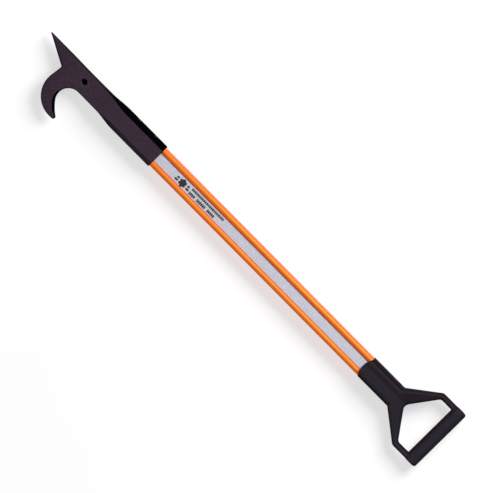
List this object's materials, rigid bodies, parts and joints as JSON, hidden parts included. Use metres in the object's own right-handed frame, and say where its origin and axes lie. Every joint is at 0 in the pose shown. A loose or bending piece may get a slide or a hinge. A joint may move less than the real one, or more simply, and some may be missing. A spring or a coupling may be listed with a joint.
{
  "type": "fire pike pole",
  "caption": "Short firefighting pike pole: steel pike and hook head pinned on a dog-bone fibreglass pole with reflective strips and a moulded D grip.",
  "frame": {"origin": "centre of the bounding box at its base: the surface that the socket and the collar lie on", "axes": "+X along the pole from the pike's tip to the D grip, -Y the side that the hook hangs on, +Z out of the front face"},
  "size_m": [0.9144, 0.1384, 0.036],
  "materials": {
    "coated_steel": "fine-grained satin coating, dark plum brown",
    "pin_steel": "oiled black spring steel",
    "orange_fibreglass": "semi-gloss pultruded fibreglass, fluorescent orange",
    "foam": "rigid cellular foam",
    "plug": "cast resin plug",
    "reflective_tape": "silver grey retroreflective film",
    "black_moulding": "fine-textured black moulded nylon"
  },
  "bodies": {
    "root": {"pike_head": "coated_steel", "socket_pin_1": "pin_steel", "socket_pin_2": "pin_steel", "pole_shell": "orange_fibreglass", "foam_core": "foam", "head_end_plug": "plug", "grip_end_plug": "plug", "front_reflective_strip": "reflective_tape", "back_reflective_strip": "reflective_tape", "d_grip": "black_moulding", "grip_pin": "pin_steel"}
  },
  "joints": []
}
